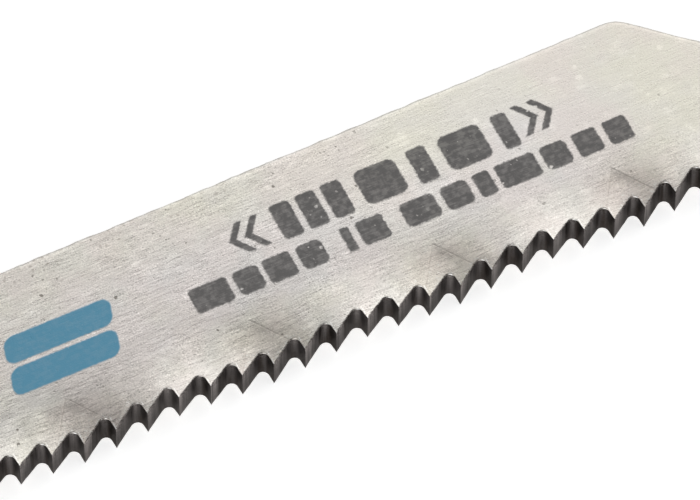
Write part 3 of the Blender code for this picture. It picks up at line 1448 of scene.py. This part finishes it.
@dataclass(frozen=True)
class InkLook:
    """How the print has worn; distances are in tooth pitches, less than zero inside a block."""

    ragged_rule: NoiseRule = NoiseRule(9.0, 3.0, 0.7)
    ragged: float = 0.12
    blue_ragged: float = 0.5
    edge: Span = Span(-0.03, 0.04, 1.0, 0.0)
    holes_rule: PitRule = PitRule(3.2, 0.24, 0.25)
    holes_edge: Span = Span(-0.3, -0.05, 0.3, 1.0)
    holes: float = 0.9
    pores_rule: PitRule = PitRule(6.0, 0.2, 0.14)
    pores: float = 0.5
    scored_rule: NoiseRule = NoiseRule(5.0, 3.0, 0.5)
    scored_lines: float = 0.35
    scored_noise: float = 0.65
    scored: Span = Span(0.42, 0.62, 0.0, 0.14)
    blue_thin: float = 0.35


@dataclass(frozen=True)
class FaceRelief:
    """How far each part of the face's look raises or roughens it."""

    depth: float = 0.008 * MM
    lines: float = 0.5
    streaks: float = 0.3
    grains: float = 0.6
    marks: float = 1.5
    ink: float = 0.5
    groove: Span = Span(0.0, 0.05, 0.5, 0.0)
    pressed: Span = Span(-0.03, 0.09, 0.0, 0.45)
    rough: float = 0.3
    rough_lines: float = 0.25
    rough_ink: float = 0.5
    ink_cover: float = 0.75


class GroundFace(Finish):
    """Ground steel with its grinding lines, pits, patches and worn print, and painted light, shade and
    highlights.
    """

    colours: FaceColours = FaceColours()
    steel: SteelLook = SteelLook()
    wear: WearLook = WearLook()
    ink: InkLook = InkLook()
    relief: FaceRelief = FaceRelief()
    layout: PrintLayout = PrintLayout()
    front_height: float = 0.85

    def __init__(self, effects: Effects, tooth_line: float) -> None:
        """Build the finish.

        Args:
            effects: the shared effects.
            tooth_line: y of the tooth tips in the frame.
        """
        super().__init__("ground_steel_face", effects)
        self.x, y, z = self.w.parts(self.spot)
        self.up = y - tooth_line / MM
        self.front = z > self.front_height
        self.lines, self.streaks, self.grains = self.effect(effects.brush)
        self.calm = self.x.eased(self.steel.calm_x) * self.up.eased(self.steel.calm_up)
        marks = self.marks()
        self.colour = self.w.mix(marks, self.steel_colour(), self.colours.pit)
        self.wear_press_marks()
        self.wear_teeth()
        self.wear_back()
        self.wear_crowns()
        self.raise_parts(marks, self.print_on(tooth_line))

    def lay(self, mask: Value, share: Feed, tint: Feed) -> None:
        """Mix a share of a colour into the face's own where the mask lies."""
        self.colour = self.w.mix(mask * share, self.colour, tint)

    def steel_colour(self) -> Value:
        """Mix the steel's colour from its patches, lines and grain, with painted light: darker towards the
        shank, brighter high up on the face and just by the teeth.

        Returns:
            The colour.
        """
        w, look, colours, x, up = self.w, self.steel, self.colours, self.x, self.up
        ends = x.eased(look.cream_nose).at_least(x.eased(look.cream_shank))
        cream = up.eased(look.cream_high).at_least(up.eased(look.cream_low)).at_least(ends)
        cream = cream.math("ADD", self.clouds(look.drift_rule).swing(look.drift), clamp=True)
        colour = w.mix(cream, colours.steel, colours.cream)
        rosy = self.clouds(look.rose_rule, place=self.stretched(look.rose_turn, look.rose_stretch))
        colour = w.mix(rosy * look.rose, colour, colours.rose)
        tone = self.lines.swing(look.lines) + self.streaks.swing(look.streaks)
        tone = tone + self.grains.swing(look.grains)
        tone = tone - self.grains.eased(look.dark_grains) + self.grains.eased(look.bright_grains)
        patchy = self.clouds(look.patchy_rule) * look.patchy + look.least_patchy
        tone = tone * (w.blend(1.0, look.calm_tone, self.calm) * patchy)
        # Soft bright spots scattered at random.
        dings = self.pits(look.dings_rule) * look.dings
        tone = tone + (self.clouds(look.rubbed_rule) * look.rubbed + dings)
        # Painted light: darker towards the shank, brighter high up on the face, more so away from the nose.
        tone = (tone + 1.0) * x.eased(look.along)
        tone = tone * up.rise(look.upper.start, look.upper.end, 1.0, x.eased(look.upper_glow))
        # Painted light: a little brighter just by the teeth.
        return w.mix(1.0, colour, w.grey(tone * up.eased(look.foot_glow)), "MULTIPLY")

    def marks(self) -> Value:
        """Scatter pits and specks over the steel, more of them towards the shank and the back.

        Returns:
            Where they darken it.
        """
        look = self.steel
        cloud = self.clouds(look.specks_cloud) + look.least_specks
        specks = self.pits(look.specks_rule) * (cloud * self.up.eased(look.specks_up))
        marks = (self.pits(look.pits_rule) * look.pits).at_least(specks * look.specks)
        return marks * self.w.blend(1.0, look.calm_marks, self.calm)

    def wear_press_marks(self) -> None:
        """Paint shade into the press marks' creases and upper parts, and warm the steel beside them."""
        look, colours = self.wear, self.colours
        inside = self.kept(Surface.IN_PRESS_MARK)
        # Painted shade along each press mark's crease, patchy by a noise.
        self.lay(abs(inside - look.crease_in).eased(look.crease), self.noise(look.crease_soot), colours.soot)
        # Painted shade over the upper part of each press mark.
        self.lay(inside.eased(look.in_mark) * self.up.eased(look.mark_up), look.mark_soot, colours.soot)
        beside = inside.eased(look.beside_mark) * self.up.eased(look.beside_up)
        self.lay(beside, look.beside_blush, self.w.mix(1.0, self.colour, colours.blush, "MULTIPLY"))

    def wear_teeth(self) -> None:
        """Scatter bright flecks and dark nicks by the teeth, and paint glints on the burrs along the tooth
        rims.
        """
        look, colours = self.wear, self.colours
        from_teeth = self.kept(Surface.FROM_TEETH)
        near = from_teeth.eased(look.near_teeth)
        turned = self.stretched(look.fleck_turn, look.fleck_stretch)
        flecks = self.pits(look.flecks_rule, place=turned)
        self.lay(flecks, self.w.blend(look.flecks_far, look.flecks_near, near), colours.fleck)
        # Painted highlights: bright glints on the burrs close to the tooth rims.
        self.lay(self.noise(look.burrs_rule) * from_teeth.eased(look.by_teeth), look.burrs, colours.fleck)
        self.lay(self.pits(look.nicks_rule, place=turned) * near, look.nicks, colours.pit)

    def wear_back(self) -> None:
        """Make the back's rim pale, with dull stretches and grime beside it towards the shank."""
        look, colours = self.wear, self.colours
        from_back = self.kept(Surface.FROM_BACK)
        self.lay(from_back.eased(look.back_rim), look.pale_rim, colours.rim)
        dull = from_back.eased(look.dull_rim) * self.noise(look.dull_rule)
        self.lay(dull * self.x.eased(look.dull_x), look.dull, colours.soot)
        by_back = from_back.eased(look.grime_reach) * self.x.eased(look.grime_x)
        grime = self.pits(look.grime_rule) * self.clouds(look.grime_cloud) * by_back
        self.lay(grime, look.grime, colours.soot)

    def wear_crowns(self) -> None:
        """Paint shade on the face over the teeth's rims on the flank side, and paint highlights on the burrs
        past the crowns and by the tips.
        """
        look, colours = self.wear, self.colours
        over = self.kept(Surface.OVER_RIM) * (self.up < look.tooth_height)
        along = self.kept(Surface.ALONG_TOOTH)
        flank = along.eased(look.flank) * self.grains.eased(look.shade_grains)
        # Painted shade over the rims on the flank side.
        self.lay(over.eased(look.shade), flank, colours.rim_shade)
        # Painted highlights on the burrs past the crowns and by the tips.
        past_crown = over.eased(look.crown) * along.eased(look.past_crown)
        by_rake = along.eased(look.at_tip) * self.up.eased(look.rake_up)
        burr = past_crown.at_least(by_rake) * self.noise(look.rim_burrs_rule)
        self.lay(burr, look.rim_burrs, colours.burr)

    def print_on(self, tooth_line: float) -> Value:
        """Lay the worn print over the face's colour.

        Args:
            tooth_line: y of the tooth tips in the frame.

        Returns:
            How much ink lies there.
        """
        look, group = self.ink, self.effects.block
        spot = self.layout.spot(self.w, self.place, tooth_line)
        ragged = self.noise(look.ragged_rule).swing(look.ragged)
        dark = self.layout.distance(self.w, group, spot, self.layout.dark()) + ragged
        blue = self.layout.distance(self.w, group, spot, self.layout.bars) + ragged * look.blue_ragged
        holes = self.pits(look.holes_rule) * dark.eased(look.holes_edge)
        scored = self.lines * look.scored_lines + self.noise(look.scored_rule) * look.scored_noise
        thin = scored.eased(look.scored).at_least(self.pits(look.pores_rule) * look.pores)
        dark = dark.eased(look.edge) * self.front * (1.0 - (holes * look.holes).at_least(thin))
        blue = blue.eased(look.edge) * self.front * (1.0 - thin * look.blue_thin)
        self.colour = self.w.mix(dark, self.colour, self.colours.ink)
        self.colour = self.w.mix(blue, self.colour, self.colours.blue)
        return dark.at_least(blue)

    def raise_parts(self, marks: Value, inked: Value) -> None:
        """Give the face its fine relief and finish its shader.

        Args:
            marks: where pits and specks lie.
            inked: how much ink lies there.
        """
        look = self.relief
        pressed = self.kept(Surface.IN_PRESS_MARK)
        height = self.lines * look.lines + self.streaks * look.streaks + self.grains * look.grains
        height = height - marks * look.marks + inked * look.ink
        groove = abs(pressed - self.wear.crease_in).eased(look.groove)
        self.bump(height - (groove + pressed.eased(look.pressed)), look.depth)
        rough = self.w.blend(self.lines.swing(look.rough_lines) + look.rough, look.rough_ink, inked)
        self.set(Base_Color=self.colour, Roughness=rough, Metallic=1.0 - inked * look.ink_cover)


class PlainEdge(Finish):
    """The sheared and tumbled edges of the strip."""

    name: str = "tumbled_edge"
    brush: BrushRule = BrushRule(0.8, 6.0)
    dull: CloudRule = CloudRule(1.2, 0.35, 0.7)
    pits_rule: PitRule = PitRule(2.5, 0.15, 0.4)
    pit_share: float = 0.6
    bright: Colour = (0.34, 0.32, 0.3, 1.0)
    dark: Colour = (0.22, 0.2, 0.19, 1.0)
    pit: Colour = (0.1, 0.09, 0.08, 1.0)
    depth: float = 0.006 * MM
    rough: float = 0.4
    rough_lines: float = 0.2
    metallic: float = 0.9

    def __init__(self, effects: Effects) -> None:
        """Build the finish.

        Args:
            effects: the shared effects.
        """
        super().__init__(self.name, effects)
        lines = self.effect(effects.brush, **asdict(self.brush))[0]
        pits = self.pits(self.pits_rule)
        colour = self.w.mix(self.clouds(self.dull), self.bright, self.dark)
        colour = self.w.mix(pits * self.pit_share, colour, self.pit)
        self.bump(lines - pits, self.depth)
        rough = lines * self.rough_lines + self.rough
        self.set(Base_Color=colour, Roughness=rough, Metallic=self.metallic)


class MilledTeeth(Finish):
    """The dark milled walls between the teeth, with their lines across the strip, and painted light and
    shade along each tooth's outline and towards the printed side.
    """

    brush: BrushRule = BrushRule(0.3, 9.0)
    shear: float = 0.35
    squeeze: float = 0.4
    # Painted light and shade on the dark steel: lighter by the tips and on the flanks near them, darker over
    # the rounds and the rakes.
    tones: tuple[tuple[float, float], ...] = (
        (0.0, 0.15),
        (0.1, 0.14),
        (0.19, 0.09),
        (0.27, 0.066),
        (0.4, 0.066),
        (0.54, 0.088),
        (0.62, 0.075),
        (0.7, 0.052),
        (0.9, 0.06),
        (0.98, 0.085),
        (1.0, 0.15),
    )
    burrs_rule: NoiseRule = NoiseRule(14.0, 2.0, 0.6)
    burrs: Span = Span(0.3, 1.0, 0.8, 3.5)
    streaked: Span = Span(0.3, 0.7, 0.65, 1.35)
    lined: float = 2.0
    # Painted light: the walls lighter towards the printed side.
    toward_front: Span = Span(-0.6, 1.0, 0.95, 1.45)
    tint_tones: Span = Span(0.03, 0.09)
    dark_tint: Colour = (1.2, 0.98, 0.86, 1.0)
    light_tint: Colour = (1.08, 0.97, 0.93, 1.0)
    depth: float = 0.006 * MM
    line_height: float = 0.6
    streak_height: float = 0.4
    rough: float = 0.38
    rough_lines: float = 0.2
    metallic: float = 0.9
    specular: float = 0.2
    specular_tint: Colour = (0.5, 0.5, 0.5, 1.0)

    def __init__(self, effects: Effects) -> None:
        """Build the finish.

        Args:
            effects: the shared effects.
        """
        super().__init__("milled_teeth", effects)
        w = self.w
        x, y, z = w.parts(self.spot)
        turned = w.vector(z, x + y * self.shear, y * self.squeeze)
        lines, streaks, _ = self.effect(effects.brush, place=turned, **asdict(self.brush))
        across = self.kept(Surface.ACROSS_STRIP)
        # A noise lightens and darkens the walls, more towards the printed side.
        burrs = self.noise(self.burrs_rule).swing(across.eased(self.burrs))
        uneven = streaks.eased(self.streaked) + (lines.swing(self.lined) + burrs)
        # Painted light and shade along the outline and towards the printed side.
        tone = self.outline_tone() * (uneven * across.eased(self.toward_front))
        tint = w.mix(tone.eased(self.tint_tones), self.dark_tint, self.light_tint)
        self.bump(lines * self.line_height + streaks * self.streak_height, self.depth)
        self.set(
            Base_Color=w.mix(1.0, w.grey(tone), tint, "MULTIPLY"),
            Roughness=lines * self.rough_lines + self.rough,
            Metallic=self.metallic,
            Specular_IOR_Level=self.specular,
            Specular_Tint=self.specular_tint,
        )

    def outline_tone(self) -> Value:
        """Follow the dark steel's tone along a tooth's outline, with painted light and shade: lighter by the
        tips and on the flanks near them, darker over the rounds and the rakes.

        Returns:
            The tone.
        """
        ramp = self.w.add("ShaderNodeValToRGB", {}, {0: self.kept(Surface.ALONG_TOOTH)})
        stops = ramp.color_ramp.elements
        while len(stops) < len(self.tones):
            stops.new(MIDDLE)
        for stop, (share, tone) in zip(stops, self.tones):
            stop.position = share
            stop.color = (tone, tone, tone, 1.0)
        return Value(self.w, ramp.outputs[0])


@dataclass
class SawBlade:
    """The whole blade: its guide, its tree, its finishes and its finished mesh."""

    name: str = "wavy_set_blade"
    sharp_angle: float = math.radians(30.0)
    length_digits: int = 6

    def build(self) -> bpy.types.Object:
        """Build, dress and place the blade.

        Returns:
            The finished piece, riding on the frame's body.
        """
        low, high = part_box(NODE)
        sizes = StripSizes(length=round((high - low).x, self.length_digits))
        origin = Vector((low.x, (low.y + high.y) / 2 - sizes.axis_y, (low.z + high.z) / 2))
        effects = Effects()
        finishes = {
            "Face": GroundFace(effects, origin.y).material,
            "Edge": PlainEdge(effects).material,
            "Milled": MilledTeeth(effects).material,
        }
        mesh = self.swept(sizes, origin, finishes)
        self.close(mesh)
        piece = bpy.data.objects.new(self.name, mesh)
        bpy.context.scene.collection.objects.link(piece)
        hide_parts(NODE)
        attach(piece, BODY)
        return piece

    def swept(
        self, sizes: StripSizes, origin: Vector, finishes: dict[str, bpy.types.Material]
    ) -> bpy.types.Mesh:
        """Run the strip's tree on its guide.

        Args:
            sizes: the strip's sizes.
            origin: where the end of the shank lies on the tooth line, halfway through the strip.
            finishes: the material of each finish.

        Returns:
            The strip's mesh, open at both ends.
        """
        guide = StripGuide(sizes)
        holder = bpy.data.objects.new("strip_guide", guide.mesh())
        bpy.context.scene.collection.objects.link(holder)
        strip = StripTree(sizes, guide)
        tree = strip.build(origin)
        modifier = holder.modifiers.new("toothed_strip", "NODES")
        modifier.node_group = tree
        values = {title(name): value for name, value in strip.inputs(origin).items()}
        items = (item for item in tree.interface.items_tree if item.in_out == "INPUT")
        sockets = {item.name: item.identifier for item in items}
        for label, value in {**values, **finishes}.items():
            modifier[sockets[label]] = value
        holder.update_tag()
        bpy.context.view_layer.update()
        graph = bpy.context.evaluated_depsgraph_get()
        mesh = bpy.data.meshes.new_from_object(holder.evaluated_get(graph), depsgraph=graph)
        mesh.name = self.name
        holder.modifiers.remove(modifier)
        bpy.data.objects.remove(holder)
        return mesh

    def close(self, mesh: bpy.types.Mesh) -> None:
        """Close both ends of the strip and smooth its shading.

        Args:
            mesh: the open strip.
        """
        form = bmesh.new()
        form.from_mesh(mesh)
        open_edges = [edge for edge in form.edges if edge.is_boundary]
        made = bmesh.ops.holes_fill(form, edges=open_edges, sides=0)
        edge_slot = mesh.materials.find(PlainEdge.name)
        for face in made["faces"]:
            face.material_index = edge_slot
        bmesh.ops.recalc_face_normals(form, faces=form.faces)
        form.to_mesh(mesh)
        form.free()
        mesh.shade_smooth()
        mesh.set_sharp_from_angle(angle=self.sharp_angle)


def hang(thing: bpy.types.Object, target: Vector, azimuth: float, elevation: float, distance: float) -> None:
    """Put an object into the scene, facing a target.

    Args:
        thing: a lamp or a camera.
        target: the point that it faces.
        azimuth: the way from the target to it, in degrees from Y towards X.
        elevation: its height over the target, in degrees.
        distance: how far from the target it is.
    """
    turn, rise = math.radians(azimuth), math.radians(elevation)
    flat = math.cos(rise)
    out = Vector((flat * math.sin(turn), flat * math.cos(turn), math.sin(rise)))
    thing.location = target + out * distance
    thing.rotation_mode = "QUATERNION"
    thing.rotation_quaternion = (-out).to_track_quat("-Z", "Y")
    bpy.context.scene.collection.objects.link(thing)


@dataclass(frozen=True)
class Viewpoint:
    """The photograph's camera: where it looks, from where, and through which lens."""

    target: tuple[float, float, float] = (28.417 * MM, -0.59 * MM, 0.225 * MM)
    azimuth: float = 206.495
    elevation: float = 57.106
    distance: float = 241.6 * MM
    lens: float = 356.5
    film_width: float = 36.0
    nearest: float = 0.01
    farthest: float = 20.0

    def build(self) -> None:
        """Make the scene's camera."""
        camera = bpy.data.cameras.new("camera")
        camera.lens = self.lens
        camera.sensor_width = self.film_width
        camera.clip_start = self.nearest
        camera.clip_end = self.farthest
        eye = bpy.data.objects.new("camera", camera)
        hang(eye, Vector(self.target), self.azimuth, self.elevation, self.distance)
        bpy.context.scene.camera = eye


@dataclass(frozen=True)
class SoftBox:
    """One soft lamp of the studio."""

    name: str
    azimuth: float
    elevation: float
    distance: float
    width: float
    height: float
    level: float
    colour: tuple[float, float, float] = (1.0, 1.0, 1.0)

    def build(self, target: Vector) -> None:
        """Hang the lamp and aim it.

        Args:
            target: the point that it lights.
        """
        lamp = bpy.data.lights.new(self.name, "AREA")
        lamp.shape = "RECTANGLE"
        lamp.size = self.width
        lamp.size_y = self.height
        lamp.energy = self.level * math.pi * self.width * self.height
        lamp.color = self.colour
        holder = bpy.data.objects.new(self.name, lamp)
        hang(holder, target, self.azimuth, self.elevation, self.distance)


@dataclass(frozen=True)
class Studio:
    """Pale floor, plain soft light and the photograph's viewpoint."""

    lamps: tuple[SoftBox, ...] = (
        SoftBox("rear_softbox", 48.0, 40.0, 0.32, 0.42, 0.24, 0.85, (1.0, 0.99, 0.97)),
        SoftBox("front_softbox", 206.5, 35.0, 0.7, 1.0, 0.6, 1.2),
    )
    floor_reach: float = 3.0
    floor_colour: Colour = (0.82, 0.82, 0.82, 1.0)
    floor_rough: float = 0.9
    floor_specular: float = 0.1
    glow: Colour = (1.0, 1.0, 1.0, 1.0)
    glow_seen: float = 0.52
    glow_mirrored: float = 0.3
    air_colour: Colour = (0.99, 1.0, 1.0, 1.0)
    air: Span = Span(0.3, 0.9, 0.8, 0.38)
    zenith: Span = Span(0.89, 0.98, 0.0, 0.1)

    def build(self) -> None:
        """Set up the whole studio."""
        self.build_floor()
        self.build_world()
        low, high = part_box(NODE)
        for lamp in self.lamps:
            lamp.build((low + high) / 2)
        Viewpoint().build()
        bpy.context.scene.view_settings.view_transform = "Standard"

    def build_floor(self) -> None:
        """Lay the pale floor, which shows near white to the camera but keeps its shadow."""
        mesh = bpy.data.meshes.new("pale_floor")
        reach = self.floor_reach
        places = [(-reach, -reach, 0.0), (reach, -reach, 0.0), (reach, reach, 0.0), (-reach, reach, 0.0)]
        mesh.from_pydata(places, [], [(0, 1, 2, 3)])
        floor = bpy.data.objects.new("pale_floor", mesh)
        bpy.context.scene.collection.objects.link(floor)
        material = bpy.data.materials.new("pale_floor")
        material.use_nodes = True
        w = Wiring(material.node_tree)
        path = w.add("ShaderNodeLightPath").outputs
        mirrored = w.math("MAXIMUM", path["Is Glossy Ray"], path["Is Transmission Ray"])
        seen = Value(w, path["Is Camera Ray"]) * self.glow_seen
        feeds = {
            "Base Color": self.floor_colour,
            "Roughness": self.floor_rough,
            "Specular IOR Level": self.floor_specular,
            "Emission Color": self.glow,
            "Emission Strength": seen + mirrored * self.glow_mirrored,
        }
        for name, value in feeds.items():
            w.feed(material.node_tree.nodes["Principled BSDF"].inputs[name], value)
        mesh.materials.append(material)
        floor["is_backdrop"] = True

    def build_world(self) -> None:
        """Make the even studio air, a little brighter low down than overhead."""
        world = bpy.data.worlds.new("studio_air")
        world.use_nodes = True
        bpy.context.scene.world = world
        w = Wiring(world.node_tree)
        background = world.node_tree.nodes["Background"]
        height = w.parts(w.add("ShaderNodeTexCoord").outputs["Generated"])[2]
        w.feed(background.inputs["Color"], self.air_colour)
        w.feed(background.inputs["Strength"], height.eased(self.air) + height.eased(self.zenith))


def corners(box: tuple[Vector, Vector]) -> list[list[float]]:
    """Return a box's two corners as plain lists."""
    return [list(corner) for corner in box]


def main() -> None:
    """Build the blade and the studio, and measure the scene's box before and after."""
    logging.basicConfig(level=logging.INFO, format="%(name)s: %(message)s")
    solid_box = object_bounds()
    piece = SawBlade().build()
    LOG.info("%s: %d faces", piece.name, len(piece.data.polygons))
    Studio().build()
    LOG.info("studio: floor, lamps and camera")
    {"cad": corners(solid_box), "visual": corners(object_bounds())}


if __name__ == "__main__":
    main()
